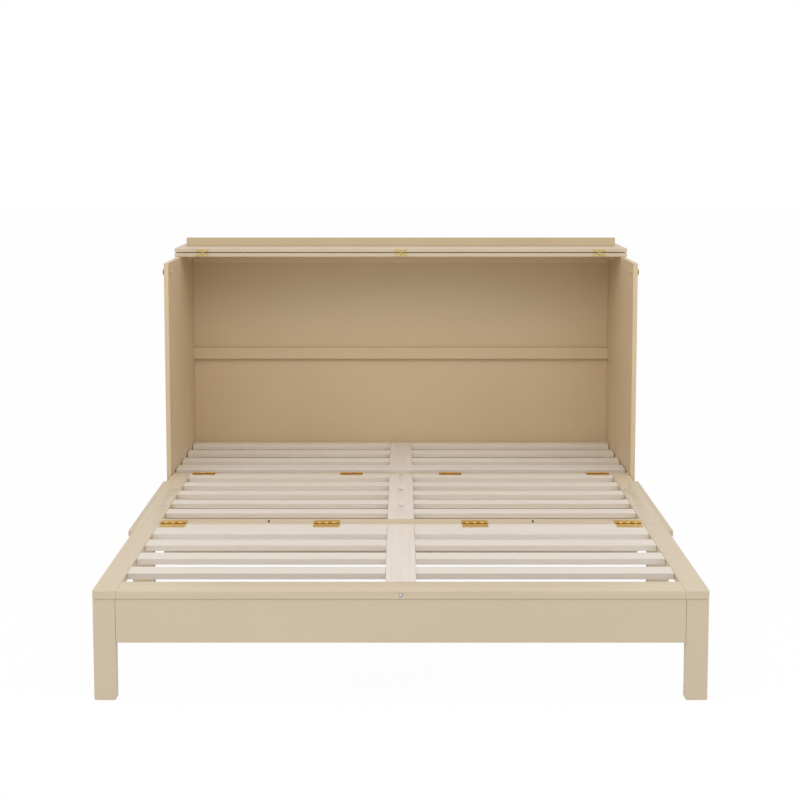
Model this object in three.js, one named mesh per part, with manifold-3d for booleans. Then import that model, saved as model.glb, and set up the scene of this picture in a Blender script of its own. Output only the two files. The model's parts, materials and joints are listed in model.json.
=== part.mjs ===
// A queen-size wall bed: a low cabinet holds the rear of the slatted deck, and the middle and foot
// sections fold up into it. X runs across the bed, -Y is the foot end, +Y the wall, and Z is up.
// All sizes are in millimetres, and the origin is on the floor at the middle of the object.
import * as THREE from 'three';
import { mergeVertices } from 'three/addons/utils/BufferGeometryUtils.js';
import Module from 'manifold-3d';

const wasm = await Module();
wasm.setup();

// Lengths along the bed, and what keeps the folded sections below the lid
const BACK_PANEL_T = 12;
const REAR_LENGTH = 614;
const FOLDED_CLEARANCE = 5;
const FOOT_SHORTER = 9;

// Deck heights and widths
const DECK_TOP = 284;
const FRAME_T = 20;
const SLAT_T = 17;
const LAP_T = 8.5;
const BED_W = 1560;
const RAIL_W = 60;
const CENTRE_W = 80;
const SEAT = 0.25;
const FOLD_GAP = 1;

// Slats and cross rails
const REAR_HINGE_SLAT_W = 80;
const REAR_SLAT_W = 58;
const REAR_SLATS = 4;
const REAR_FIRST_GAP = 52;
const REAR_SLAT_GAP = 89;
const REAR_END_GAP = 42;
const MIDDLE_SLAT_W = 56;
const MIDDLE_SLATS = 5;
const MIDDLE_END_RAIL_W = 66;
const FOOT_HINGE_SLAT_W = 118;
const FOOT_FIRST_GAP = 63;
const FOOT_SLAT_W = 65;
const FOOT_SLATS = 4;
const FOOT_END_RAIL_W = 88;
const CORNER_R = 8;
const CORNER_STEPS = 4;

// Cabinet
const CABINET_H = 1008;
const SIDE_T = 15;
const BAY_CLEARANCE = 3;
const SIDE_LEAD = 22;
const BACK_PANEL_LOW = 214;
const TRIM_T = 18;
const MID_RAIL_LOW = 600;
const MID_RAIL_H = 43;
const TOP_RAIL_H = 43;
const LID_CLEAT_H = 20;
const LID_CLEAT_SETBACK = 155;
const BEARER_T = 24;
const BEARER_H = 50;
const KICK_BOARD_T = 20;
const KICK_BOARD_LOW = 40;

// Lid
const LID_T = 14;
const LID_OVERHANG = 7;
const LID_GAP = 2.5;
const LID_AXIS_FROM_FOLD = 281;
const LID_EDGE = 2;
const LID_LEAF_LENGTH = 335;
const LID_RAIL_H = 30;
const LID_RAIL_FROM_EDGE = 135;

// Front panel under the middle section and its stiffener
const PANEL_T = 18;
const PANEL_OVERHANG = 12;
const STIFFENER_END_GAP = 30;
const STIFFENER_H = 50;
const STIFFENER_T = 18;
const STIFFENER_SETBACK = 4;

// Legs
const MIDDLE_LEG_W = 65;
const MIDDLE_LEG_T = 25;
const MIDDLE_LEG_INSET = 10;
const MIDDLE_LEG_SETBACK = 2;
const FOOT_LEG_W = 58;
const FOOT_LEG_T = 28;
const FOOT_LEG_SETBACK = 2;
const APRON_H = 114;
const APRON_T = 18;
const LEG_TOE_R = 7;
const FRAME_SEAM = 0.3;

// Butt hinges at the two deck folds
const HINGE_W = 76;
const LEAF_T = 2;
const REAR_LEAF_DEPTH = 20;
const FOOT_LEAF_DEPTH = 40;
const AXIS_RISE = 4;
const KNUCKLE_R = 3.6;
const KNUCKLES = 7;
const KNUCKLE_GAP = 0.5;
const KNUCKLE_STEPS = 12;
const PIN_R = 1.8;
const BORE_R = 2.15;
const PLATE_CLEARANCE = 0.5;
const PIN_INSET = 1;
const REAR_FOLD_HINGE_INSET = 106;
const REAR_FOLD_HINGE_INNER = 169;
const FOOT_FOLD_HINGE_INSET = 104;
const FOOT_FOLD_HINGE_INNER = 220;

// Butterfly hinges on the lid's edges
const LID_HINGE_INSET = 99;
const WING_W = 44;
const WING_H = 11;
const WING_T = 1.4;
const WING_WAIST = 10;
const WING_NOTCH = 4;
const WING_DIP = 2;
const WING_STEPS = 3;
const LID_KNUCKLE_R = 1.8;
const LID_PIN_R = 0.9;
const LID_BORE_R = 1.15;
const LID_KNUCKLES = 3;

// Lock pins in the cabinet sides
const LOCK_DROP = 32;
const LOCK_PIN_R = 4.5;
const LOCK_BORE_R = 4.9;
const LOCK_REACH = 8;
const LOCK_SOCKET_R = 5.6;
const LOCK_SOCKET_DEPTH = 8;
const KNOB_R = 10.5;
const KNOB_T = 8.2;
const KNOB_NECK_R = 7.5;
const KNOB_NECK_T = 3;
const KNOB_EDGE = 1.2;
const LOCK_STEPS = 16;

// How far a cutting tool runs past the face it cuts, and how close points count as one
const THROUGH = 1;
const MERGE_DISTANCE = 1e-4;

// Places worked out from the sizes above
const axisZ = DECK_TOP + AXIS_RISE;
const middleLength = CABINET_H - FOLDED_CLEARANCE - axisZ;
const footLength = middleLength - FOOT_SHORTER;
const wallY = (BACK_PANEL_T + REAR_LENGTH + middleLength + footLength) / 2;
const backFaceY = wallY - BACK_PANEL_T;
const rearFoldY = backFaceY - REAR_LENGTH;
const footFoldY = rearFoldY - middleLength;
const footEndY = footFoldY - footLength;
const sideFrontY = rearFoldY - SIDE_LEAD;
const kickFrontY = rearFoldY + FOLD_GAP;
const kickBackY = kickFrontY + KICK_BOARD_T;
const bedHalf = BED_W / 2;
const railInner = bedHalf - RAIL_W;
const bayHalf = bedHalf + BAY_CLEARANCE;
const panelHalf = bayHalf + SIDE_T + PANEL_OVERHANG;
const lidHalf = bayHalf + SIDE_T + LID_OVERHANG;
const frameLow = DECK_TOP - FRAME_T;
const slatLow = DECK_TOP - SLAT_T;
const panelTop = frameLow - SEAT;
const panelLow = panelTop - PANEL_T;
const lidAxisY = rearFoldY + LID_AXIS_FROM_FOLD;
const lidLow = CABINET_H + SEAT;
const lidTop = lidLow + LID_T;
const lidAxisZ = lidTop + LID_GAP / 2;
const leafLow = lidTop + LID_GAP;
const leafTop = leafLow + LID_T;
const foldedFrameMid = axisZ + AXIS_RISE + FRAME_T / 2;
const lockY = rearFoldY + foldedFrameMid - axisZ;
const lockZ = CABINET_H - LOCK_DROP;
const socketY = footFoldY - (LOCK_DROP - FOLDED_CLEARANCE);

// Finishes
const finish = (color, roughness, metalness = 0) =>
  new THREE.MeshStandardMaterial({ color, roughness, metalness });
const PAINT = finish(0xd0bfa4, 0.5);
const PALE_WOOD = finish(0xdcd1c5, 0.6);
const BRASS = finish(0xc79a3f, 0.35, 1);

const bed = new THREE.Group();

// A box between two corners, as a geometry in place
function block([x0, x1], [y0, y1], [z0, z1]) {
  const geometry = new THREE.BoxGeometry(x1 - x0, y1 - y0, z1 - z0);
  geometry.translate((x0 + x1) / 2, (y0 + y1) / 2, (z0 + z1) / 2);
  return geometry;
}

// A geometry as a solid that can be cut and joined
function solidOf(geometry) {
  const bare = geometry.clone();
  bare.deleteAttribute('normal');
  bare.deleteAttribute('uv');
  const merged = mergeVertices(bare, MERGE_DISTANCE);
  return new wasm.Manifold(new wasm.Mesh({
    numProp: 3,
    vertProperties: merged.attributes.position.array,
    triVerts: new Uint32Array(merged.index.array),
  }));
}

// A cut or joined solid as a geometry again
function geometryOf(solid) {
  const mesh = solid.getMesh();
  const points = new Float32Array(mesh.numVert * 3);
  for (let i = 0; i < mesh.numVert; i++) {
    points.set(mesh.vertProperties.subarray(i * mesh.numProp, i * mesh.numProp + 3), i * 3);
  }
  const geometry = new THREE.BufferGeometry();
  geometry.setAttribute('position', new THREE.BufferAttribute(points, 3));
  geometry.setIndex(new THREE.BufferAttribute(mesh.triVerts, 1));
  geometry.computeVertexNormals();
  return geometry;
}

function join(geometries) {
  let solid = solidOf(geometries[0]);
  for (const geometry of geometries.slice(1)) {
    solid = solid.add(solidOf(geometry));
  }
  return geometryOf(solid);
}

function cut(geometry, tools) {
  let solid = solidOf(geometry);
  for (const tool of tools) {
    solid = solid.subtract(solidOf(tool));
  }
  return geometryOf(solid);
}

function add(name, geometry, material) {
  const mesh = new THREE.Mesh(geometry, material);
  mesh.name = name;
  bed.add(mesh);
}

// A round bar along X
function barX(x0, x1, y, z, radius, steps) {
  const geometry = new THREE.CylinderGeometry(radius, radius, x1 - x0, steps);
  geometry.rotateZ(Math.PI / 2);
  geometry.translate((x0 + x1) / 2, y, z);
  return geometry;
}

// Left is -X and right is +X, seen from the foot end
const SIDES = [['left', -1], ['right', 1]];
const across = (side, near, far) => (side < 0 ? [-far, -near] : [near, far]);

// Cabinet sides, each bored for its lock pin
function cabinetSides() {
  for (const [label, side] of SIDES) {
    const x = across(side, bayHalf, bayHalf + SIDE_T);
    const board = block(x, [sideFrontY, wallY], [0, CABINET_H]);
    const bore = barX(x[0] - THROUGH, x[1] + THROUGH, lockY, lockZ, LOCK_BORE_R, LOCK_STEPS);
    add('cabinet_side_' + label, cut(board, [bore]), PAINT);
  }
}

// Back of the cabinet with the rail that crosses it, and the kick board whose top edge carries the hinges
function cabinetBack() {
  const between = [-bayHalf + SEAT, bayHalf - SEAT];
  const railY = [backFaceY - SEAT - TRIM_T, backFaceY - SEAT];
  add('back_panel', block(between, [backFaceY, wallY], [BACK_PANEL_LOW, CABINET_H]), PAINT);
  add('back_middle_rail', block(between, railY, [MID_RAIL_LOW, MID_RAIL_LOW + MID_RAIL_H]), PAINT);
  add('kick_board', block(between, [kickFrontY, kickBackY], [KICK_BOARD_LOW, DECK_TOP]), PAINT);
}

// U-shaped frame under the fixed lid board: a back rail and two side cleats
function lidSupport() {
  const edge = bayHalf - SEAT;
  const backEdge = backFaceY - SEAT;
  const cleatFront = lidAxisY + LID_EDGE + LID_CLEAT_SETBACK;
  const pieces = [block([-edge, edge], [backEdge - TRIM_T, backEdge], [CABINET_H - TOP_RAIL_H, CABINET_H])];
  for (const [, side] of SIDES) {
    const x = across(side, edge - TRIM_T, edge);
    pieces.push(block(x, [cleatFront, backEdge], [CABINET_H - LID_CLEAT_H, CABINET_H]));
  }
  add('lid_support_frame', join(pieces), PAINT);
}

// Bearers that carry the rear deck: two along the sides, one at the back and one under the centre
function rearBearers() {
  const top = slatLow - SEAT;
  const z = [top - BEARER_H, top];
  const edge = bayHalf - SEAT;
  const backEdge = backFaceY - SEAT;
  const y = [kickBackY + SEAT, backEdge];
  const pieces = [block([-edge, edge], [backEdge - BEARER_T, backEdge], z)];
  pieces.push(block([-CENTRE_W / 2, CENTRE_W / 2], y, z));
  for (const [, side] of SIDES) {
    pieces.push(block(across(side, edge - BEARER_T, edge), y, z));
  }
  add('rear_bearers', join(pieces), PAINT);
}

// A slat across the bed, halved over its middle so that the centre board lies flush in it
function slat(y, half) {
  const whole = block([-half, half], y, [slatLow, DECK_TOP]);
  const notch = CENTRE_W / 2 + SEAT;
  const lapZ = [slatLow + LAP_T - SEAT, DECK_TOP + THROUGH];
  const lap = block([-notch, notch], [y[0] - THROUGH, y[1] + THROUGH], lapZ);
  return cut(whole, [lap]);
}

// The board along the middle of a section, let in to its slats from above
function centreBoard(y) {
  return block([-CENTRE_W / 2, CENTRE_W / 2], y, [slatLow + LAP_T, DECK_TOP]);
}

// Rear deck: slats and centre board joined in one lift-in piece
function rearDeck() {
  const start = kickBackY + REAR_FIRST_GAP;
  const end = backFaceY - REAR_END_GAP;
  const half = bayHalf - BAY_CLEARANCE;
  const z = [slatLow, DECK_TOP];
  const pieces = [block([-CENTRE_W / 2, CENTRE_W / 2], [start, end], z)];
  pieces.push(block([-half, half], [start, start + REAR_HINGE_SLAT_W], z));
  for (let i = 0; i < REAR_SLATS - 1; i++) {
    const far = end - i * (REAR_SLAT_W + REAR_SLAT_GAP);
    pieces.push(block([-half, half], [far - REAR_SLAT_W, far], z));
  }
  add('rear_deck', join(pieces), PALE_WOOD);
}

// Middle section: two side rails and an end rail around its slats
function middleFrame() {
  const y = [footFoldY + FOLD_GAP, rearFoldY - FOLD_GAP];
  const z = [frameLow, DECK_TOP];
  const railY = [y[0], y[0] + MIDDLE_END_RAIL_W];
  const inner = railInner - SEAT;
  for (const [label, side] of SIDES) {
    add('middle_side_rail_' + label, block(across(side, railInner, bedHalf), y, z), PAINT);
  }
  add('middle_end_rail', block([-inner, inner], railY, z), PAINT);
  const gap = (y[1] - railY[1] - MIDDLE_SLATS * MIDDLE_SLAT_W) / MIDDLE_SLATS;
  for (let i = 0; i < MIDDLE_SLATS; i++) {
    const far = y[1] - i * (MIDDLE_SLAT_W + gap);
    add('middle_slat_' + (i + 1), slat([far - MIDDLE_SLAT_W, far], inner), PALE_WOOD);
  }
  add('middle_centre_board', centreBoard([railY[1] + SEAT, y[1]]), PALE_WOOD);
}

// Front panel of the closed cabinet, fixed under the middle section, and its stiffener
function frontPanel() {
  const y = [footFoldY + FOLD_GAP, sideFrontY - FOLD_GAP];
  add('front_panel', block([-panelHalf, panelHalf], y, [panelLow, panelTop]), PAINT);
  const near = footFoldY + FOLD_GAP + STIFFENER_SETBACK;
  const top = panelLow - SEAT;
  const half = panelHalf - MIDDLE_LEG_INSET - MIDDLE_LEG_W - STIFFENER_END_GAP;
  add('panel_stiffener', block([-half, half], [near, near + STIFFENER_T], [top - STIFFENER_H, top]), PAINT);
}

// Board outline with one rounded corner on its outer side, given in X and a second axis
function roundedCornerShape(x0, x1, v0, v1, radius, corner) {
  const shape = new THREE.Shape();
  if (corner === 'low-left') {
    shape.moveTo(x0, v1);
    shape.lineTo(x0, v0 + radius);
    shape.absarc(x0 + radius, v0 + radius, radius, Math.PI, 1.5 * Math.PI, false);
    shape.lineTo(x1, v0);
    shape.lineTo(x1, v1);
  } else {
    shape.moveTo(x1, v1);
    shape.lineTo(x0, v1);
    shape.lineTo(x0, v0);
    shape.lineTo(x1 - radius, v0);
    shape.absarc(x1 - radius, v0 + radius, radius, 1.5 * Math.PI, 2 * Math.PI, false);
  }
  return shape;
}

// A flat board seen from above, with its outer foot corner rounded
function boardFromAbove(x, y, z, side) {
  const shape = roundedCornerShape(x[0], x[1], y[0], y[1], CORNER_R, side < 0 ? 'low-left' : 'low-right');
  const options = { depth: z[1] - z[0], bevelEnabled: false, curveSegments: CORNER_STEPS };
  const geometry = new THREE.ExtrudeGeometry(shape, options);
  geometry.translate(0, 0, z[0]);
  return geometry;
}

// Foot section: side rails that run to the foot end, an end rail between them, and slats
function footFrame() {
  const y = [footEndY, footFoldY - FOLD_GAP];
  const z = [frameLow, DECK_TOP];
  const inner = railInner - SEAT;
  for (const [label, side] of SIDES) {
    const rail = boardFromAbove(across(side, railInner, bedHalf), y, z, side);
    const depth = across(side, bedHalf - LOCK_SOCKET_DEPTH, bedHalf + THROUGH);
    const socket = barX(depth[0], depth[1], socketY, DECK_TOP - FRAME_T / 2, LOCK_SOCKET_R, LOCK_STEPS);
    add('foot_side_rail_' + label, cut(rail, [socket]), PAINT);
  }
  const railY = [footEndY, footEndY + FOOT_END_RAIL_W];
  add('foot_end_rail', block([-inner, inner], railY, z), PAINT);
  const hingeSlatY = y[1] - FOOT_HINGE_SLAT_W;
  add('foot_slat_1', slat([hingeSlatY, y[1]], inner), PALE_WOOD);
  const start = hingeSlatY - FOOT_FIRST_GAP;
  const pitch = (start - railY[1]) / (FOOT_SLATS - 1);
  for (let i = 0; i < FOOT_SLATS - 1; i++) {
    const far = start - i * pitch;
    add('foot_slat_' + (i + 2), slat([far - FOOT_SLAT_W, far], inner), PALE_WOOD);
  }
  add('foot_centre_board', centreBoard([railY[1] + SEAT, y[1]]), PALE_WOOD);
}

// Foot leg frame: two legs with a rounded inner toe, and the apron between them
function footLegs() {
  const near = footEndY + FOOT_LEG_SETBACK;
  const y = [near, near + FOOT_LEG_T];
  const top = frameLow - FRAME_SEAM;
  for (const [label, side] of SIDES) {
    const x = across(side, bedHalf - FOOT_LEG_W, bedHalf);
    const toe = roundedCornerShape(x[0], x[1], 0, top, LEG_TOE_R, side < 0 ? 'low-right' : 'low-left');
    const options = { depth: FOOT_LEG_T, bevelEnabled: false, curveSegments: CORNER_STEPS };
    const front = new THREE.ExtrudeGeometry(toe, options);
    front.rotateX(Math.PI / 2);
    front.translate(0, y[1], 0);
    const above = boardFromAbove(x, y, [0, top], side);
    add('foot_leg_' + label, geometryOf(solidOf(front).intersect(solidOf(above))), PAINT);
  }
  const half = bedHalf - FOOT_LEG_W - SEAT;
  add('foot_apron', block([-half, half], [near, near + APRON_T], [top - APRON_H, top]), PAINT);
}

// Two legs under the outer end of the middle section
function middleLegs() {
  const near = footFoldY + FOLD_GAP + MIDDLE_LEG_SETBACK;
  const far = panelHalf - MIDDLE_LEG_INSET;
  for (const [label, side] of SIDES) {
    const x = across(side, far - MIDDLE_LEG_W, far);
    add('middle_leg_' + label, block(x, [near, near + MIDDLE_LEG_T], [0, panelLow - FRAME_SEAM]), PAINT);
  }
}

// Lid: a fixed board on the cabinet and a front leaf, which is stored folded back on top of it
function lid() {
  const x = [-lidHalf, lidHalf];
  const edgeY = lidAxisY + LID_EDGE;
  add('lid_fixed_board', block(x, [edgeY, wallY], [lidLow, lidTop]), PAINT);
  add('lid_front_leaf', block(x, [edgeY, edgeY + LID_LEAF_LENGTH], [leafLow, leafTop]), PAINT);
  const railY = [edgeY + LID_RAIL_FROM_EDGE, edgeY + LID_RAIL_FROM_EDGE + TRIM_T];
  const railZ = [leafTop + SEAT, leafTop + SEAT + LID_RAIL_H];
  add('lid_rail', block([-bedHalf, bedHalf], railY, railZ), PAINT);
}

// Knuckle spans along a hinge: the leaf that carries the pin takes the odd-numbered ones
function knuckleSpans(width, count, odd) {
  const spans = [];
  const step = width / count;
  for (let i = odd ? 0 : 1; i < count; i += 2) {
    const low = -width / 2 + i * step;
    spans.push([low + KNUCKLE_GAP / 2, low + step - KNUCKLE_GAP / 2]);
  }
  return spans;
}

// One leaf of a deck hinge, lying on the deck to one side of the fold, with or without the pin
function buttLeaf(x, y, depth, side, withPin) {
  const plateLow = DECK_TOP + SEAT;
  const plateZ = [plateLow, plateLow + LEAF_T];
  const near = KNUCKLE_R + PLATE_CLEARANCE;
  const out = (a, b) => (side < 0 ? [y - b, y - a] : [y + a, y + b]);
  const pieces = [block([x - HINGE_W / 2, x + HINGE_W / 2], out(near, depth), plateZ)];
  for (const [a, b] of knuckleSpans(HINGE_W, KNUCKLES, withPin)) {
    const ring = barX(x + a, x + b, y, axisZ, KNUCKLE_R, KNUCKLE_STEPS);
    const tongue = block([x + a, x + b], out(0, near + PLATE_CLEARANCE), plateZ);
    const bore = barX(x + a - THROUGH, x + b + THROUGH, y, axisZ, BORE_R, KNUCKLE_STEPS);
    pieces.push(cut(join([ring, tongue]), withPin ? [] : [bore]));
  }
  if (withPin) {
    const reach = HINGE_W / 2 - PIN_INSET;
    pieces.push(barX(x - reach, x + reach, y, axisZ, PIN_R, KNUCKLE_STEPS));
  }
  return join(pieces);
}

// Hinge places along a fold: one near each side and one on each side of the middle
function foldHingeX(inset, inner) {
  const outer = bedHalf - inset;
  return [-outer, -inner, inner, outer];
}

function deckHinges() {
  foldHingeX(REAR_FOLD_HINGE_INSET, REAR_FOLD_HINGE_INNER).forEach((x, i) => {
    add('rear_fold_hinge_fixed_leaf_' + (i + 1), buttLeaf(x, rearFoldY, REAR_LEAF_DEPTH, 1, true), BRASS);
    add('rear_fold_hinge_moving_leaf_' + (i + 1), buttLeaf(x, rearFoldY, REAR_LEAF_DEPTH, -1, false), BRASS);
  });
  foldHingeX(FOOT_FOLD_HINGE_INSET, FOOT_FOLD_HINGE_INNER).forEach((x, i) => {
    add('foot_fold_hinge_middle_leaf_' + (i + 1), buttLeaf(x, footFoldY, FOOT_LEAF_DEPTH, 1, true), BRASS);
    add('foot_fold_hinge_foot_leaf_' + (i + 1), buttLeaf(x, footFoldY, FOOT_LEAF_DEPTH, -1, false), BRASS);
  });
}

// Outline of one butterfly leaf: narrow at the knuckle, two round lobes, a notch between them
function wingShape(half, height, waist, notch) {
  const shape = new THREE.Shape();
  const lobe = height / 2;
  shape.moveTo(-waist / 2, 0);
  shape.quadraticCurveTo(-half / 2, WING_DIP, -half + lobe, 0);
  shape.absarc(-half + lobe, lobe, lobe, 1.5 * Math.PI, 0.5 * Math.PI, true);
  shape.quadraticCurveTo(-half / 2, height, 0, height - notch);
  shape.quadraticCurveTo(half / 2, height, half - lobe, height);
  shape.absarc(half - lobe, lobe, lobe, 0.5 * Math.PI, -0.5 * Math.PI, true);
  shape.quadraticCurveTo(half / 2, WING_DIP, waist / 2, 0);
  return shape;
}

// One leaf of a lid hinge on a board's front edge: up for the folding leaf, down for the fixed board
function lidHingeLeaf(x, up) {
  const shape = wingShape(WING_W / 2, WING_H, WING_WAIST, WING_NOTCH);
  const options = { depth: WING_T, bevelEnabled: false, curveSegments: WING_STEPS };
  const wing = new THREE.ExtrudeGeometry(shape, options);
  wing.rotateX(Math.PI / 2);
  const start = LID_GAP / 2 + (LID_T - WING_H) / 2;
  const plateY = lidAxisY + LID_EDGE - SEAT;
  if (!up) {
    wing.rotateY(Math.PI);
  }
  wing.translate(x, plateY, lidAxisZ + (up ? start : -start));
  const pieces = [wing];
  for (const [a, b] of knuckleSpans(WING_WAIST, LID_KNUCKLES, !up)) {
    const ring = barX(x + a, x + b, lidAxisY, lidAxisZ, LID_KNUCKLE_R, KNUCKLE_STEPS);
    const tip = start + WING_T;
    const z = up ? [lidAxisZ, lidAxisZ + tip] : [lidAxisZ - tip, lidAxisZ];
    const tongue = block([x + a, x + b], [plateY - WING_T, plateY], z);
    const bore = barX(x + a - THROUGH, x + b + THROUGH, lidAxisY, lidAxisZ, LID_BORE_R, KNUCKLE_STEPS);
    pieces.push(cut(join([ring, tongue]), up ? [bore] : []));
  }
  if (!up) {
    const reach = WING_WAIST / 2 - PIN_INSET;
    pieces.push(barX(x - reach, x + reach, lidAxisY, lidAxisZ, LID_PIN_R, KNUCKLE_STEPS));
  }
  return join(pieces);
}

function lidHinges() {
  const outer = lidHalf - LID_HINGE_INSET;
  [-outer, 0, outer].forEach((x, i) => {
    add('lid_hinge_fixed_leaf_' + (i + 1), lidHingeLeaf(x, false), BRASS);
    add('lid_hinge_moving_leaf_' + (i + 1), lidHingeLeaf(x, true), BRASS);
  });
}

// Lock pins: a turned knob outside the cabinet side and a shank through it into the folded foot rail
function lockPins() {
  for (const [label, side] of SIDES) {
    const outer = bayHalf + SIDE_T + SEAT;
    const profile = [
      [0, bayHalf - LOCK_REACH],
      [LOCK_PIN_R, bayHalf - LOCK_REACH],
      [LOCK_PIN_R, outer],
      [KNOB_NECK_R, outer],
      [KNOB_NECK_R, outer + KNOB_NECK_T],
      [KNOB_R, outer + KNOB_NECK_T + KNOB_EDGE],
      [KNOB_R, outer + KNOB_T - KNOB_EDGE],
      [KNOB_R - KNOB_EDGE, outer + KNOB_T],
      [0, outer + KNOB_T],
    ];
    const points = profile.map(([radius, reach]) => new THREE.Vector2(radius, reach));
    const turned = new THREE.LatheGeometry(points, LOCK_STEPS);
    turned.rotateZ(side < 0 ? Math.PI / 2 : -Math.PI / 2);
    turned.translate(0, lockY, lockZ);
    add('lock_pin_' + label, geometryOf(solidOf(turned)), BRASS);
  }
}

cabinetSides();
cabinetBack();
lidSupport();
rearBearers();
rearDeck();
middleFrame();
frontPanel();
footFrame();
footLegs();
middleLegs();
lid();
deckHinges();
lidHinges();
lockPins();

export default bed;
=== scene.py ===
import json
import math

import bmesh
import bpy
from mathutils import Matrix, Vector


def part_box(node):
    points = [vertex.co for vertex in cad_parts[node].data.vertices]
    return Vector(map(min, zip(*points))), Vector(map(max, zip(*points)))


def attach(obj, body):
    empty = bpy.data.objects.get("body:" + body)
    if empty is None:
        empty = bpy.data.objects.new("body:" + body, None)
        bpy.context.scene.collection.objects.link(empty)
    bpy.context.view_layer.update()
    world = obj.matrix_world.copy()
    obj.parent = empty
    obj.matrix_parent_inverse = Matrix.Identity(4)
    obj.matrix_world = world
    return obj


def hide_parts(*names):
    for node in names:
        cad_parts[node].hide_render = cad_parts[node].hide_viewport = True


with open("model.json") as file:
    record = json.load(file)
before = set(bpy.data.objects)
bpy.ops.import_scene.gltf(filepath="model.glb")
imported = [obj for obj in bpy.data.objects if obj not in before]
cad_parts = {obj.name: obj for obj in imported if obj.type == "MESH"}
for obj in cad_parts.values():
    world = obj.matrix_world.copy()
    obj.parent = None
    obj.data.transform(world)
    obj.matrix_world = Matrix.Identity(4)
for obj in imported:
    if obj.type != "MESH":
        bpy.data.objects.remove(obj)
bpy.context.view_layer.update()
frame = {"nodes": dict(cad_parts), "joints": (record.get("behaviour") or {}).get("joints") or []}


# Cabinet boards
# The sides, the rail across the back, the kick board and the frames that carry the deck and the lid
# are cut square from board, glued and screwed from inside, and sprayed with a satin beige paint.
# Their edges are eased with sandpaper before the paint goes on.
MM = 0.001
BOARD_EDGE = 1.2 * MM
FRAME_EDGE = 0.6 * MM
EDGE_STEPS = 3
EDGE_ANGLE = math.radians(35)
FLAT_ANGLE = math.radians(1)
WELD_DISTANCE = 0.01 * MM
WARM_BOUNCE_BEIGE = ("d8c2a1", "d5be9b")
SUPPORT_HIGHLIGHT_BEIGE = ("dec6a4", "dabf9c")
SIDE_BOUNCE_BEIGE = ("d3bd9c", "cfb897")
BEIGE = ("cebda3", "cab9a0")
PAINT_DRIFT = 2.5
PAINT_PEEL = 420
PAINT_STREAK = 160
STREAK_STRETCH = 0.02
PAINT_ROUGHNESS = (0.42, 0.56)
PAINT_BUMP = 0.06
PEEL_DEPTH = 0.3 * MM
STREAK_DEPTH = 0.4 * MM
NOISE_DETAIL = 3
NOISE_RANGE = (0.3, 0.7)
SCREEN_LEVELS = 255
SCREEN_OFFSET = 0.055
SCREEN_POWER = 2.4
MIX_FACTOR = 0
MIX_FIRST = 6
MIX_SECOND = 7
MIX_RESULT = 2
FACE_WEIGHT = 100
AXES = {"x": 0, "y": 1, "z": 2}
EVEN = (1, 1, 1)


def colour(code):
    """Six figures of a screen colour, as the linear colour that a shader takes."""
    screen = [level / SCREEN_LEVELS for level in bytes.fromhex(code)]
    return (*[((c + SCREEN_OFFSET) / (1 + SCREEN_OFFSET)) ** SCREEN_POWER for c in screen], 1.0)


def step(material, kind, wires=None, values=None, **settings):
    """Adds one node to a material, with its inputs wired or set."""
    made = material.node_tree.nodes.new(kind)
    for key, value in settings.items():
        setattr(made, key, value)
    for key, value in (values or {}).items():
        made.inputs[key].default_value = value
    for key, socket in (wires or {}).items():
        material.node_tree.links.new(socket, made.inputs[key])
    return made


def start_finish(name, **sockets):
    """A material with one shader, whose plain sockets are set here."""
    material = bpy.data.materials.new(name)
    material.use_nodes = True
    material.node_tree.nodes.clear()
    shader = step(material, "ShaderNodeBsdfPrincipled", values=sockets)
    step(material, "ShaderNodeOutputMaterial", {"Surface": shader.outputs["BSDF"]})
    return material, shader


def mottle(material, stretch, scale, detail=2.0):
    """Noise over the piece's own coordinates, drawn out where stretch is below one."""
    own = step(material, "ShaderNodeTexCoord").outputs["Object"]
    mapping = step(material, "ShaderNodeMapping", {"Vector": own}, {"Scale": stretch})
    wires = {"Vector": mapping.outputs["Vector"]}
    return step(material, "ShaderNodeTexNoise", wires, {"Scale": scale, "Detail": detail}).outputs["Fac"]


def spread(material, value, low, high):
    """A noise value spread over a range."""
    start, end = NOISE_RANGE
    values = {"From Min": start, "From Max": end, "To Min": low, "To Max": high}
    return step(material, "ShaderNodeMapRange", {"Value": value}, values).outputs["Result"]


def two_tone(material, factor, first, second):
    """One of two colours, or between them."""
    ends = {MIX_FIRST: colour(first), MIX_SECOND: colour(second)}
    return step(material, "ShaderNodeMix", {MIX_FACTOR: factor}, ends, data_type="RGBA").outputs[MIX_RESULT]


def relief(material, height, strength, depth, under=None):
    """A small height over the surface, laid on another where there is one."""
    wires = {"Height": height}
    if under:
        wires["Normal"] = under
    values = {"Strength": strength, "Distance": depth}
    return step(material, "ShaderNodeBump", wires, values).outputs["Normal"]


def wire(material, socket, target):
    """Joins two sockets of a material."""
    material.node_tree.links.new(socket, target)


def along(axis, stretch):
    """A stretch vector that draws noise out along one axis."""
    return tuple(stretch if i == AXES[axis] else 1.0 for i in range(len(AXES)))


def beige_paint(name, axis, tones):
    """Satin paint: a slow drift of tone, a fine sprayed peel, and faint streaks along the board."""
    material, shader = start_finish(name + "_along_" + axis)
    drift = mottle(material, EVEN, PAINT_DRIFT, NOISE_DETAIL)
    wire(material, two_tone(material, spread(material, drift, 0, 1), *tones), shader.inputs["Base Color"])
    peel = mottle(material, EVEN, PAINT_PEEL)
    streak = mottle(material, along(axis, STREAK_STRETCH), PAINT_STREAK, NOISE_DETAIL)
    wire(material, spread(material, streak, *PAINT_ROUGHNESS), shader.inputs["Roughness"])
    fine = relief(material, peel, PAINT_BUMP, PEEL_DEPTH)
    wire(material, relief(material, streak, PAINT_BUMP, STREAK_DEPTH, fine), shader.inputs["Normal"])
    return material


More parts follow.
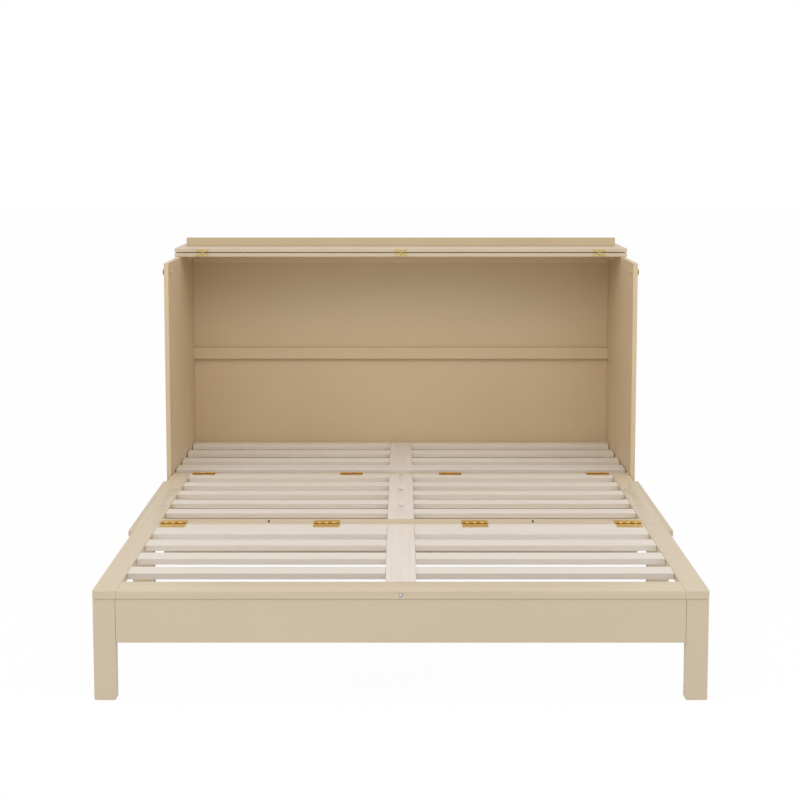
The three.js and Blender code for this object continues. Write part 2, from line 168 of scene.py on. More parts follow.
def smoothing_nodes():
    """Welds a CAD mesh along its edges and shades it smooth, so that its edges can be eased."""
    group = bpy.data.node_groups.new("welded_and_smooth", "GeometryNodeTree")
    for direction in ("INPUT", "OUTPUT"):
        group.interface.new_socket("Geometry", in_out=direction, socket_type="NodeSocketGeometry")
    chain = [group.nodes.new("NodeGroupInput")]
    chain.append(group.nodes.new("GeometryNodeMergeByDistance"))
    chain[-1].inputs["Distance"].default_value = WELD_DISTANCE
    chain.append(group.nodes.new("GeometryNodeRemoveAttribute"))
    chain[-1].inputs["Name"].default_value = "custom_normal"
    chain.append(group.nodes.new("GeometryNodeSetShadeSmooth"))
    chain.append(group.nodes.new("NodeGroupOutput"))
    for first, second in zip(chain, chain[1:]):
        group.links.new(first.outputs["Geometry"], second.inputs["Geometry"])
    return group


welded = smoothing_nodes()


def ease(piece, edge):
    """Rounds every sharp edge of a piece a little, as sandpaper does."""
    bevel = piece.modifiers.new("eased_edges", "BEVEL")
    bevel.width = edge
    bevel.segments = EDGE_STEPS
    bevel.limit_method = "ANGLE"
    bevel.angle_limit = EDGE_ANGLE
    shading = piece.modifiers.new("flat_shading", "WEIGHTED_NORMAL")
    shading.weight = FACE_WEIGHT
    shading.keep_sharp = True


def dress(node, material, edge=BOARD_EDGE):
    """Gives a CAD board its finish and its eased edges."""
    board = frame["nodes"][node]
    board.data.materials.clear()
    board.data.materials.append(material)
    board.modifiers.new("welded", "NODES").node_group = welded
    flat = board.modifiers.new("flat_faces", "DECIMATE")
    flat.decimate_type = "DISSOLVE"
    flat.angle_limit = FLAT_ANGLE
    ease(board, edge)


# The back rail and the back board take a warmer copy of this paint: painted warm bounce light, for the
# light that the boards inside the cabinet throw on each other.
warm_bounce_paint = beige_paint("warm_bounce_beige_paint", "x", WARM_BOUNCE_BEIGE)
# The cabinet's sides take a warmer copy of the paint: painted warm bounce light, for the inside of the
# cabinet.
side_bounce_paint = beige_paint("side_bounce_beige_paint", "z", SIDE_BOUNCE_BEIGE)
paint = {axis: beige_paint("beige_paint", axis, BEIGE) for axis in AXES}
for side in ("left", "right"):
    dress("cabinet_side_" + side, side_bounce_paint)
dress("back_middle_rail", warm_bounce_paint)
# The frame under the lid takes a lighter copy of the paint: a painted highlight, for the light band along
# the back under the lid.
dress("lid_support_frame", beige_paint("support_highlight_beige_paint", "x", SUPPORT_HIGHLIGHT_BEIGE))
for node in ("kick_board", "rear_bearers"):
    dress(node, paint["x"])


# Rear deck
# Four pine slats across the cabinet's floor, planed smooth and whitewashed. The wide one at the fold is
# whole, and the others are halved for the centre board that runs back from it. Each joint is glued.
WASH = ("e2dad0", "d7ccbc", "ccbba8")
REAR_LIT_WASH = ("e9e0d4", "ddd2c3", "d1c2ae")
RING_SCALE = 110
FIBRE_SCALE = 700
GRAIN_STRETCH = 0.025
RING_WEIGHT = 0.55
FIBRE_WEIGHT = 0.22
PINE_ROUGHNESS = (0.55, 0.7)
PINE_BUMP = 0.12
PINE_SHINE = 0.25
FIBRE_DEPTH = 0.3 * MM
SLAT_EDGE = 1.5 * MM
REAR_SLATS = 4
REAR_HINGE_SLAT_W = 80 * MM
REAR_SLAT_W = 58 * MM
REAR_SLAT_GAP = 89 * MM
CENTRE_W = 80 * MM
LAP_T = 8.5 * MM
SEAT = 0.25 * MM


def washed_pine(name, axis, tones):
    """Whitewashed pine: soft growth rings and fine fibres, both drawn out along the board."""
    material, shader = start_finish(name + "_along_" + axis, **{"Specular IOR Level": PINE_SHINE})
    rings = mottle(material, along(axis, GRAIN_STRETCH), RING_SCALE, NOISE_DETAIL)
    fibres = mottle(material, along(axis, GRAIN_STRETCH), FIBRE_SCALE)
    tone = two_tone(material, spread(material, rings, 0, RING_WEIGHT), *tones[:2])
    wires = {MIX_FIRST: tone, MIX_FACTOR: spread(material, fibres, 0, FIBRE_WEIGHT)}
    mix = step(material, "ShaderNodeMix", wires, {MIX_SECOND: colour(tones[2])}, data_type="RGBA")
    wire(material, mix.outputs[MIX_RESULT], shader.inputs["Base Color"])
    wire(material, spread(material, fibres, *PINE_ROUGHNESS), shader.inputs["Roughness"])
    wire(material, relief(material, fibres, PINE_BUMP, FIBRE_DEPTH), shader.inputs["Normal"])
    return material


def loop(bm, points, height):
    """A ring of vertices at one height."""
    return [bm.verts.new((x, y, height)) for x, y in points]


def pairs(ring):
    """Each vertex of a ring with the next one."""
    return zip(ring, ring[1:] + ring[:1])


def wall(bm, lower, upper):
    """Faces between two rings of vertices."""
    for (a, b), (d, c) in zip(pairs(lower), pairs(upper)):
        bm.faces.new((a, b, c, d)).smooth = True


def close_flat(bm, rings):
    """Fills the flat area between an outer ring and the rings inside it."""
    edges = [bm.edges.get(pair) or bm.edges.new(pair) for ring in rings for pair in pairs(ring)]
    bmesh.ops.triangle_fill(bm, use_beauty=True, edges=edges)


def add_plate(bm, outline, low, high, holes=()):
    """A flat plate. Each hole is a list of (points, height) from the top face down."""
    bottom = loop(bm, outline, low)
    top = loop(bm, outline, high)
    wall(bm, bottom, top)
    above, below = [top], [bottom]
    for hole in holes:
        rings = [loop(bm, points, height) for points, height in hole]
        for upper, lower in zip(rings, rings[1:]):
            wall(bm, upper, lower)
        above.append(rings[0])
        if hole[-1][1] == low:
            below.append(rings[-1])
        else:
            bm.faces.new(rings[-1])
    close_flat(bm, above)
    close_flat(bm, below)


def mesh_from(bm, name, matrix=None):
    """The finished mesh, its walls shaded smooth up to their sharp edges and its flats left flat."""
    bmesh.ops.recalc_face_normals(bm, faces=bm.faces)
    mesh = bpy.data.meshes.new(name)
    bm.to_mesh(mesh)
    bm.free()
    mesh.set_sharp_from_angle(angle=EDGE_ANGLE)
    if matrix:
        mesh.transform(matrix)
    return mesh


def place(name, mesh, material, body, edge=None, matrix=None, replaces=()):
    """A finished piece on its body."""
    piece = bpy.data.objects.new(name, mesh)
    bpy.context.scene.collection.objects.link(piece)
    if not mesh.materials:
        mesh.materials.append(material)
    if matrix:
        piece.matrix_world = matrix
    if edge:
        ease(piece, edge)
    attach(piece, body)
    if replaces:
        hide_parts(*replaces)
    return piece


def rectangle(x0, x1, y0, y1):
    return [(x0, y0), (x1, y0), (x1, y1), (x0, y1)]


UPRIGHT = Matrix.Rotation(math.radians(90), 4, "X")


def halved_slat(name, low, high):
    """A slat seen from its foot side, with the halving for the centre board, drawn out along Y."""
    notch = CENTRE_W / 2 + SEAT
    seat = low.z + LAP_T - SEAT
    outline = [
        (low.x, low.z), (high.x, low.z), (high.x, high.z), (notch, high.z),
        (notch, seat), (-notch, seat), (-notch, high.z), (low.x, high.z),
    ]
    bm = bmesh.new()
    add_plate(bm, outline, -high.y, -low.y)
    return mesh_from(bm, name, UPRIGHT)


pine = {axis: washed_pine("washed_pine", axis, WASH) for axis in ("x", "y")}
# The three slats at the back take a lighter copy of the whitewash: painted light, against the shade inside
# the cabinet.
rear_lit_pine = washed_pine("rear_lit_washed_pine", "x", REAR_LIT_WASH)
deck_low, deck_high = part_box("rear_deck")
for i in range(REAR_SLATS - 1):
    name = "rear_slat_%d" % (REAR_SLATS - i)
    far_y = deck_high.y - i * (REAR_SLAT_W + REAR_SLAT_GAP)
    near = Vector((deck_low.x, far_y - REAR_SLAT_W, deck_low.z))
    far = Vector((deck_high.x, far_y, deck_high.z))
    place(name, halved_slat(name, near, far), rear_lit_pine, "cabinet", SLAT_EDGE)

behind_hinge_slat = deck_low.y + REAR_HINGE_SLAT_W
bm = bmesh.new()
add_plate(bm, rectangle(deck_low.x, deck_high.x, deck_low.y, behind_hinge_slat), deck_low.z, deck_high.z)
place("rear_slat_1", mesh_from(bm, "rear_slat_1"), pine["x"], "cabinet", SLAT_EDGE)
bm = bmesh.new()
board = rectangle(-CENTRE_W / 2, CENTRE_W / 2, behind_hinge_slat + SEAT, deck_high.y)
add_plate(bm, board, deck_low.z + LAP_T, deck_high.z)
mesh = mesh_from(bm, "rear_centre_board")
place("rear_centre_board", mesh, pine["y"], "cabinet", SLAT_EDGE, replaces=["rear_deck"])


# Middle section's frame
# Two side rails and an end rail of painted board, bolted through to the front panel below them with
# low zinc-plated bolts, whose heads lie in counterbores. The end rail has two narrow slots, and a
# near-black piece sits in each below the rail's top: painted shade, for the shadow deep in the slot.
BOLT_X = 738 * MM
BOLT_STEPS = (240 * MM, 476 * MM)
BOLT_R = 8 * MM
BORE_CLEARANCE = 0.6 * MM
COUNTERBORE_DEPTH = 2.9 * MM
RIM = 0.4 * MM
RIM_MIDDLE = 0.3
CORNER_TO_EDGE = 1.25
CORNER_STEPS = 4
HALF_ROUND_STEPS = 8
FOLD_FROM_KICK_BOARD = 1 * MM
BOLT_SOCKET_SHARE = 0.33
BOLT_SOCKET_SIDES = 6
BOLT_PROFILE = ((0.97, 0), (1, 0.5 * MM), (0.93, 1.4 * MM), (0.78, 2.1 * MM), (0.55, 2.5 * MM))
BOLT_SOCKET_DEPTH = 1.4 * MM
ROUND_STEPS = 28
SLOT_X = 395 * MM
SLOT_W = 6 * MM
SLOT_LENGTH = 34 * MM
SLOT_DEPTH = 12 * MM
SLOT_FROM_REAR = 14 * MM
SLOT_SHADE_DROP = 2 * MM
SLOT_SHADE_CLEARANCE = 0.3 * MM
SLOT_SHADE = ("17140f", "2b251d")
SLOT_SHADE_ROUGHNESS = 0.9
SLOT_SHADE_NOISE = 900
SLOT_SHADE_NOISE_BUMP = 0.5
SLOT_SHADE_NOISE_DEPTH = 0.3 * MM
ZINC = ("dcdfe8", "c2c6d2")
PLATING_SCALE = 160
MARKS_TO_PATCHES = 10
MARKS_BUMP = 0.1
MARKS_DEPTH = 0.05 * MM
METAL_ROUGHNESS = (0.3, 0.46)


def rounded_rectangle(x0, x1, y0, y1, radius):
    """A rectangle with its corners rounded."""
    points = []
    centres = ((x1 - radius, y1 - radius), (x0 + radius, y1 - radius))
    centres += ((x0 + radius, y0 + radius), (x1 - radius, y0 + radius))
    for quarter, (x, y) in enumerate(centres):
        for i in range(CORNER_STEPS + 1):
            angle = math.pi / 2 * (quarter + i / CORNER_STEPS)
            points.append((x + radius * math.cos(angle), y + radius * math.sin(angle)))
    return points


def circle(x, y, radius, count=ROUND_STEPS):
    angles = [2 * math.pi * i / count for i in range(count)]
    return [(x + radius * math.cos(a), y + radius * math.sin(a)) for a in angles]


def metal(name, tones, roughness=METAL_ROUGHNESS):
    """Plated or solid metal: a patchy tone and gloss, and fine marks from its making."""
    material, shader = start_finish(name, Metallic=1.0)
    patches = mottle(material, EVEN, PLATING_SCALE, NOISE_DETAIL)
    marks = mottle(material, along("x", STREAK_STRETCH), PLATING_SCALE * MARKS_TO_PATCHES)
    wire(material, two_tone(material, spread(material, patches, 0, 1), *tones), shader.inputs["Base Color"])
    wire(material, spread(material, patches, *roughness), shader.inputs["Roughness"])
    wire(material, relief(material, marks, MARKS_BUMP, MARKS_DEPTH), shader.inputs["Normal"])
    return material


def add_head(bm, x, y, profile, recess, depth):
    """A bolt or screw head: rings of (radius, height) from its seat up, with a recess in its top."""
    rings = [loop(bm, circle(x, y, radius), height) for radius, height in profile]
    bm.faces.new(rings[0])
    for lower, upper in zip(rings, rings[1:]):
        wall(bm, lower, upper)
    top = profile[-1][1]
    mouth = loop(bm, recess, top)
    floor = loop(bm, recess, top - depth)
    close_flat(bm, [rings[-1], mouth])
    wall(bm, mouth, floor)
    bm.faces.new(floor)


def bolt_heads(name, places, seat, size):
    """Low button heads with a six-sided socket, standing on the floors of their counterbores."""
    profile = [(size * part, seat + height) for part, height in BOLT_PROFILE]
    bm = bmesh.new()
    for x, y in places:
        socket = circle(x, y, size * BOLT_SOCKET_SHARE, BOLT_SOCKET_SIDES)
        add_head(bm, x, y, profile, socket, BOLT_SOCKET_DEPTH)
    return mesh_from(bm, name)


def blind_hole(shape, top, depth):
    """A hole with a softened rim. The shape gives its outline, made wider by a margin."""
    middle = RIM * RIM_MIDDLE
    rings = [(shape(RIM), top), (shape(middle), top - middle), (shape(0), top - RIM)]
    return rings + [(shape(0), top - depth)]


def add_eased_board(bm, sides, heights, edge, holes):
    """A board with rounded edges and corners, bored from above."""
    x0, x1, y0, y1 = sides
    low, high = heights
    turns = [math.pi / 2 * i / EDGE_STEPS for i in range(EDGE_STEPS + 1)]
    lower = [(edge * (1 - math.sin(a)), low + edge * (1 - math.cos(a))) for a in turns]
    upper = [(inset, low + high - height) for inset, height in reversed(lower)]
    rings = []
    for inset, height in lower + upper:
        corner = edge * CORNER_TO_EDGE - inset
        outline = rounded_rectangle(x0 + inset, x1 - inset, y0 + inset, y1 - inset, corner)
        rings.append(loop(bm, outline, height))
    for first, second in zip(rings, rings[1:]):
        wall(bm, first, second)
    mouths, below = [rings[-1]], [rings[0]]
    for hole in holes:
        bored = [loop(bm, points, height) for points, height in hole]
        for first, second in zip(bored, bored[1:]):
            wall(bm, first, second)
        mouths.append(bored[0])
        bm.faces.new(bored[-1])
    close_flat(bm, mouths)
    close_flat(bm, below)


def bolted_board(node, places, body, material, slot, edge, matrix=None, extra=(), size=BOLT_R):
    """A board that replaces its CAD node, with a counterbore and a bolt at each place in its top."""
    low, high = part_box(node)
    corners = [matrix.inverted() @ corner for corner in (low, high)] if matrix else [low, high]
    x0, x1 = sorted(c.x for c in corners)
    y0, y1 = sorted(c.y for c in corners)
    z0, z1 = sorted(c.z for c in corners)
    holes = [blind_hole(bore_at(x, y, size + BORE_CLEARANCE), z1, COUNTERBORE_DEPTH) for x, y in places]
    holes += [blind_hole(shape, z1, SLOT_DEPTH) for shape in extra]
    bm = bmesh.new()
    add_eased_board(bm, (x0, x1, y0, y1), (z0, z1), edge, holes)
    mesh = mesh_from(bm, node + "_board", matrix)
    place(node + "_board", mesh, material, body, replaces=[node])
    if places:
        heads = bolt_heads(node + "_bolts", places, z1 - COUNTERBORE_DEPTH, size)
        if matrix:
            heads.transform(matrix)
        place(node + "_bolts", heads, zinc, body)


def bore_at(x, y, radius):
    """A round hole's outline, for any margin."""
    return lambda margin: circle(x, y, radius + margin)


def slot_at(x, y, width, length):
    """A round-ended slot's outline along Y, for any margin."""
    return lambda margin: round_ended(x, y, width / 2 + margin, length / 2 - width / 2)


def round_ended(x, y, radius, reach):
    """A slot with round ends, lying along Y."""
    half = [math.pi * i / HALF_ROUND_STEPS for i in range(HALF_ROUND_STEPS + 1)]
    far = [(x + radius * math.cos(a), y + reach + radius * math.sin(a)) for a in half]
    near = [(x - radius * math.cos(a), y - reach - radius * math.sin(a)) for a in half]
    return far + near


zinc = metal("zinc_plate", ZINC)
fold_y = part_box("kick_board")[0].y - FOLD_FROM_KICK_BOARD
bolt_rows = [fold_y - distance for distance in BOLT_STEPS]
for side, x in (("left", -BOLT_X), ("right", BOLT_X)):
    places = [(x, y) for y in bolt_rows]
    bolted_board("middle_side_rail_" + side, places, "middle_section", paint["y"], "paint", FRAME_EDGE)
slot_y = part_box("middle_end_rail")[1].y - SLOT_FROM_REAR - SLOT_LENGTH / 2
slots = [slot_at(x, slot_y, SLOT_W, SLOT_LENGTH) for x in (-SLOT_X, SLOT_X)]
bolted_board("middle_end_rail", [], "middle_section", paint["x"], "paint", FRAME_EDGE, extra=slots)
# A near-black piece in each slot, a little below the rail's top: painted shade, for the shadow deep inside
# the slot.
slot_shade, slot_shade_shader = start_finish("black_slot_shade", Roughness=SLOT_SHADE_ROUGHNESS)
shade_noise = mottle(slot_shade, EVEN, SLOT_SHADE_NOISE)
slot_shade_tone = two_tone(slot_shade, spread(slot_shade, shade_noise, 0, 1), *SLOT_SHADE)
wire(slot_shade, slot_shade_tone, slot_shade_shader.inputs["Base Color"])
wire(slot_shade, relief(slot_shade, shade_noise, SLOT_SHADE_NOISE_BUMP, SLOT_SHADE_NOISE_DEPTH), slot_shade_shader.inputs["Normal"])
rail_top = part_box("middle_end_rail")[1].z
bm = bmesh.new()
for shape in slots:
    add_plate(bm, shape(-SLOT_SHADE_CLEARANCE), rail_top - SLOT_DEPTH, rail_top - SLOT_SHADE_DROP)
place("slot_shade_fills", mesh_from(bm, "slot_shade_fills"), slot_shade, "middle_section")


# Middle section's slats
# Five pine slats between the side rails, halved under a centre board that lies flush in them. The
# board is held by three of the same bolts, one of them close to the rear fold.
CENTRE_BOLT_FROM_FOLD = 16 * MM
MIDDLE_SLATS = 5

for i in range(MIDDLE_SLATS):
    dress("middle_slat_%d" % (i + 1), pine["x"], SLAT_EDGE)
centre_places = [(0, y) for y in [fold_y - CENTRE_BOLT_FROM_FOLD] + bolt_rows]
bolted_board("middle_centre_board", centre_places, "middle_section", pine["y"], "pale_wood", SLAT_EDGE)


# Front panel
# The painted board that closes the cabinet's front when the bed is up. With the bed down it lies under
# the middle section and shows past both its sides, and a stiffener is screwed along its outer end.
PANEL_EDGE = 1.5 * MM

dress("front_panel", paint["x"], PANEL_EDGE)
dress("panel_stiffener", paint["x"], FRAME_EDGE)


# Foot section
# Side rails that run to the foot end, with rounded outer corners and a socket each for the lock pin.
# The end rail sits between them and takes one bolt from the front, and four slats match the others.
FOOT_SLATS = 4
FOOT_BOLT_R = 5 * MM

for side in ("left", "right"):
    dress("foot_side_rail_" + side, paint["y"], FRAME_EDGE)
end_low, end_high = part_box("foot_end_rail")
end_bolt = [(0, (end_low.z + end_high.z) / 2)]
end_board = ("foot_end_rail", end_bolt, "foot_section", paint["x"], "paint", FRAME_EDGE, UPRIGHT)
bolted_board(*end_board, size=FOOT_BOLT_R)
for i in range(FOOT_SLATS):
    dress("foot_slat_%d" % (i + 1), pine["x"], SLAT_EDGE)
dress("foot_centre_board", pine["y"], SLAT_EDGE)


# Legs
# The foot legs and the apron between them fold as one frame, and the middle section has a leg at each
# side. All are solid wood, painted like the frame, with the foot legs' inner toes rounded off.
LEG_EDGE = 1.8 * MM

for node in ("foot_leg_left", "foot_leg_right", "middle_leg_left", "middle_leg_right"):
    dress(node, paint["z"], LEG_EDGE)
dress("foot_apron", paint["x"], LEG_EDGE)


# Deck hinges
# Brass butt hinges at the two folds, screwed flat on the deck. A leaf is stamped from plate, and its
# knuckles are rolled round the pin, which stays in one leaf. Three countersunk screws hold each leaf.
DECK_HINGES = 4
HINGE_W = 76 * MM
REAR_HINGE_DEPTH = 20 * MM
FOOT_HINGE_DEPTH = 40 * MM
HINGE_T = 2 * MM
HINGE_SEAT = 3.75 * MM
KNUCKLE_R = 3.6 * MM
KNUCKLES = 7
KNUCKLE_GAP = 0.8 * MM
KNUCKLE_CROWN = ((0, 0.62), (0.25, 0.82), (0.4, 0.97), (0.6, 0.97), (0.75, 0.82), (1, 0.62))
KNUCKLE_PLAIN = ((0, 0.66), (1, 0.66))
PLATE_CLEARANCE = 0.5 * MM
PIN_CLEARANCE = 0.1 * MM
PIN_DOME = 0.6
PLATE_CORNER = 1.5 * MM
PLATE_EDGE = 0.25 * MM
REAR_HINGE_SCREWS = [(x * MM, 12.5 * MM) for x in (-27, 0, 27)]
FOOT_HINGE_SCREWS = [(x * MM, y * MM) for x, y in ((-24, 17), (0, 29), (24, 17))]
HOLE_R = 2.6 * MM
SINK_R = 5 * MM
SINK_FLOOR = 0.35
SCREW_R = 4.5 * MM
SCREW_TIP = (0.5, 0.9)
SCREW_CROWN = ((0.93, -0.35 * MM), (1, -0.1 * MM), (0.9, 0.15 * MM), (0.6, 0.3 * MM))
CROSS_REACH = 0.5
CROSS_WIDTH = 0.22
CROSS_DEPTH = 0.4
BRASS = ("e0c27c", "c4a55c")
DARKER_BRASS_KNUCKLE_SHADE = ("c08836", "946322")
KNUCKLE_HIGHLIGHT_BRASS = ("d9b274", "c59a5a")
SHADED_REAR_BRASS = ("d2a868", "b08a50")
SCREW_BRASS = ("ecc987", "cf9f4e")
BRASS_ROUGHNESS = (0.42, 0.6)
SCREW_ROUGHNESS = (0.24, 0.36)
ROLL_STEPS = 20
ROLL_START = -90
ROLL_TURN = -292


def rolled_profile(near, seat, thickness, radius):
    """Section of a knuckle rolled from its plate, as (Y, Z) round the pin at the origin."""
    bore = seat - thickness
    sweep = [math.radians(ROLL_START + ROLL_TURN * i / ROLL_STEPS) for i in range(ROLL_STEPS + 1)]
    outer = [(radius * math.cos(a), radius * math.sin(a)) for a in sweep]
    inner = [(bore * math.cos(a), bore * math.sin(a)) for a in reversed(sweep)]
    return [(near, -seat)] + outer + inner + [(near, thickness - seat)]


def add_bar(bm, stations):
    """Sections given as (X, outline in Y and Z), joined along X and closed at both ends."""
    rings = [[bm.verts.new((x, y, z)) for y, z in section] for x, section in stations]
    for lower, upper in zip(rings, rings[1:]):
        wall(bm, lower, upper)
    bm.faces.new(rings[0])
    bm.faces.new(rings[-1])


def knuckle_spans(width, count, odd):
    """The odd or the even knuckles along a hinge, as pairs of X."""
    pitch = width / count
    starts = [-width / 2 + i * pitch for i in range(0 if odd else 1, count, 2)]
    return [(x + KNUCKLE_GAP / 2, x + pitch - KNUCKLE_GAP / 2) for x in starts]


def add_pin(bm, width, radius):
    """A round pin along X with slightly domed ends."""
    dome = radius * PIN_DOME
    reach = width / 2
    sizes = [(-reach, dome), (dome / 2 - reach, radius), (reach - dome / 2, radius), (reach, dome)]
    add_bar(bm, [(x, circle(0, 0, size, ROLL_STEPS)) for x, size in sizes])


def sunk_hole(x, y, low, high):
    """A countersunk hole for a screw."""
    middle = low + (high - low) * SINK_FLOOR
    return [(circle(x, y, SINK_R), high), (circle(x, y, HOLE_R), middle), (circle(x, y, HOLE_R), low)]


def butt_leaf(name, size, screws, with_pin, finishes):
    """A hinge leaf. The pin lies along X at the origin, and the plate runs out along Y below it."""
    width, depth, thickness, seat, radius, count = size
    crown = KNUCKLE_PLAIN if with_pin else KNUCKLE_CROWN
    near = radius + PLATE_CLEARANCE
    bm = bmesh.new()
    outline = rounded_rectangle(-width / 2, width / 2, near, depth, PLATE_CORNER)
    holes = [sunk_hole(x, y, -seat, thickness - seat) for x, y in screws]
    add_plate(bm, outline, -seat, thickness - seat, holes)
    plate = set(bm.faces)
    for x0, x1 in knuckle_spans(width, count, with_pin):
        stations = [(x0 + t * (x1 - x0), radius * part) for t, part in crown]
        add_bar(bm, [(x, rolled_profile(near, seat, thickness, r)) for x, r in stations])
    if with_pin:
        add_pin(bm, width, seat - thickness - PIN_CLEARANCE)
    for face in set(bm.faces) - plate:
        face.material_index = 1
    mesh = mesh_from(bm, name)
    for material in finishes:
        mesh.materials.append(material)
    return mesh


def cross(x, y, reach, width):
    """Outline of a cross recess."""
    a, b = reach, width / 2
    points = [(a, -b), (a, b), (b, b), (b, a), (-b, a), (-b, b)]
    points += [(-u, -v) for u, v in points]
    return [(x + u, y + v) for u, v in points]


def countersunk_screws(name, places, top, radius, thickness):
    """Flat-headed screws with a cross recess in each, whose heads end at one height."""
    profile = [(radius * SCREW_TIP[0], top - thickness * SCREW_TIP[1])]
    profile += [(radius * part, top + height) for part, height in SCREW_CROWN]
    bm = bmesh.new()
    for x, y in places:
        recess = cross(x, y, radius * CROSS_REACH, radius * CROSS_WIDTH)
        add_head(bm, x, y, profile, recess, thickness * CROSS_DEPTH)
    return mesh_from(bm, name)


brass = metal("satin_brass", BRASS, BRASS_ROUGHNESS)
# The next two brasses are painted light on the knuckles: a darker one is painted shade on the rolled
# barrel, and it also serves the knob, and a paler one is a painted highlight on the crowned knuckles.
darker_brass_knuckle_shade = metal("darker_brass_knuckle_shade", DARKER_BRASS_KNUCKLE_SHADE)
knuckle_highlight_brass = metal("painted_highlight_brass", KNUCKLE_HIGHLIGHT_BRASS)
# A darker copy of the brass for the rear hinges: painted shade.
aged_brass = metal("aged_brass", SHADED_REAR_BRASS, BRASS_ROUGHNESS)
screw_brass = metal("bright_brass", SCREW_BRASS, SCREW_ROUGHNESS)
TURNED = Matrix.Rotation(math.pi, 4, "Z")
hinge_rows = (
    ("rear_fold_hinge_fixed_leaf_", "cabinet", REAR_HINGE_DEPTH, REAR_HINGE_SCREWS, True),
    ("rear_fold_hinge_moving_leaf_", "middle_section", REAR_HINGE_DEPTH, REAR_HINGE_SCREWS, False),
    ("foot_fold_hinge_middle_leaf_", "middle_section", FOOT_HINGE_DEPTH, FOOT_HINGE_SCREWS, True),
    ("foot_fold_hinge_foot_leaf_", "foot_section", FOOT_HINGE_DEPTH, FOOT_HINGE_SCREWS, False),
)
fold_joints = {joint["name"]: Vector(joint["pos_m"]) for joint in frame["joints"] if "pos_m" in joint}
for prefix, body, depth, screws, with_pin in hinge_rows:
    axis = fold_joints["rear_fold" if prefix.startswith("rear") else "foot_fold"]
    size = (HINGE_W, depth, HINGE_T, HINGE_SEAT, KNUCKLE_R, KNUCKLES)
    # The rear hinges take the darker brass, which is painted shade for the shade inside the cabinet.
    finishes = (aged_brass, aged_brass)
    if prefix.startswith("foot"):
        # The knuckles of the leaf with the pin take the darker brass, which is painted shade, and those of
        # the other leaf take the paler brass, which is a painted highlight.
        finishes = (brass, darker_brass_knuckle_shade if with_pin else knuckle_highlight_brass)
    leaf = butt_leaf(prefix + "plate", size, screws, with_pin, finishes)
    leaf_screws = countersunk_screws(prefix + "screws", screws, HINGE_T - HINGE_SEAT, SCREW_R, HINGE_T)
    for i in range(DECK_HINGES):
        node = prefix + str(i + 1)
        low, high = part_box(node)
        spot = Matrix.Translation(((low.x + high.x) / 2, axis.y, axis.z))
        if not with_pin:
            spot = spot @ TURNED
        place(node + "_plate", leaf, brass, body, PLATE_EDGE, spot, [node])
        place(node + "_screws", leaf_screws, screw_brass, body, matrix=spot)


# Leg hinges
# Smaller butt hinges of the same brass under the deck: one leaf on the back of each leg, the other on
# the underside of what the leg folds against. They fold shut when the leg is down.
LEG_HINGE_W = 44 * MM
LEG_HINGE_DEPTH = 26 * MM
LEG_HINGE_SEAT = 3 * MM
LEG_HINGE_R = 3 * MM
LEG_KNUCKLES = 5
LEG_SCREWS = [(-14 * MM, 17 * MM), (14 * MM, 11 * MM)]

leg_size = (LEG_HINGE_W, LEG_HINGE_DEPTH, HINGE_T, LEG_HINGE_SEAT, LEG_HINGE_R, LEG_KNUCKLES)
# The knuckles of these hinges take the darker brass, which is painted shade on the rolled barrel.
leg_finishes = (brass, darker_brass_knuckle_shade)
leg_leaf_fixed = butt_leaf("leg_hinge_leaf_with_pin", leg_size, LEG_SCREWS, True, leg_finishes)
leg_leaf_moving = butt_leaf("leg_hinge_leaf_without_pin", leg_size, LEG_SCREWS, False, leg_finishes)
leg_plate_top = HINGE_T - LEG_HINGE_SEAT
leg_leaf_screws = countersunk_screws("leg_hinge_screws", LEG_SCREWS, leg_plate_top, SCREW_R, HINGE_T)
ABOVE = Matrix.Rotation(math.pi, 4, "Y")
DOWN = Matrix.Rotation(-math.pi / 2, 4, "X")
leg_rows = (
    ("foot_leg_left", "foot_leg_fold", "foot_section", "foot_leg_frame"),
    ("foot_leg_right", "foot_leg_fold", "foot_section", "foot_leg_frame"),
    ("middle_leg_left", "left_leg_fold", "middle_section", "left_middle_leg"),
    ("middle_leg_right", "right_leg_fold", "middle_section", "right_middle_leg"),
)
for node, joint, carrier, leg_body in leg_rows:
    low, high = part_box(node)
    axis = fold_joints[joint]
    spot = Matrix.Translation(((low.x + high.x) / 2, axis.y, axis.z))
    leaves = (("upper", leg_leaf_fixed, carrier, ABOVE), ("lower", leg_leaf_moving, leg_body, DOWN))
    for label, leaf, body, turn in leaves:
        name = node + "_hinge_" + label
        place(name, leaf, brass, body, PLATE_EDGE, spot @ turn)
        place(name + "_screws", leg_leaf_screws, screw_brass, body, matrix=spot @ turn)


# Back panel
# A painted board let in between the cabinet's sides. It is held from behind by rows of sunk screws that
# run into the deck's back bearer, the rail across the back and the rail under the lid.
BACK_SCREW_X = [x * MM for x in (-700, -350, 0, 350, 700)]
BACK_SCREW_R = 4 * MM
BACK_SINK_R = 4.6 * MM
BACK_SINK_TAPER = ((1, 0), (0.94, 0.4 * MM), (0.4, 3.4 * MM))
BACK_SCREW_DROP = 0.5 * MM
BACK_SCREW_T = 2.6 * MM
BACKWARD = Matrix.Rotation(math.radians(-90), 4, "X")


def sunk_bore(x, y, top):
    """A tapered blind hole for a screw that sits just below the surface."""
    return [(circle(x, y, BACK_SINK_R * part), top - depth) for part, depth in BACK_SINK_TAPER]


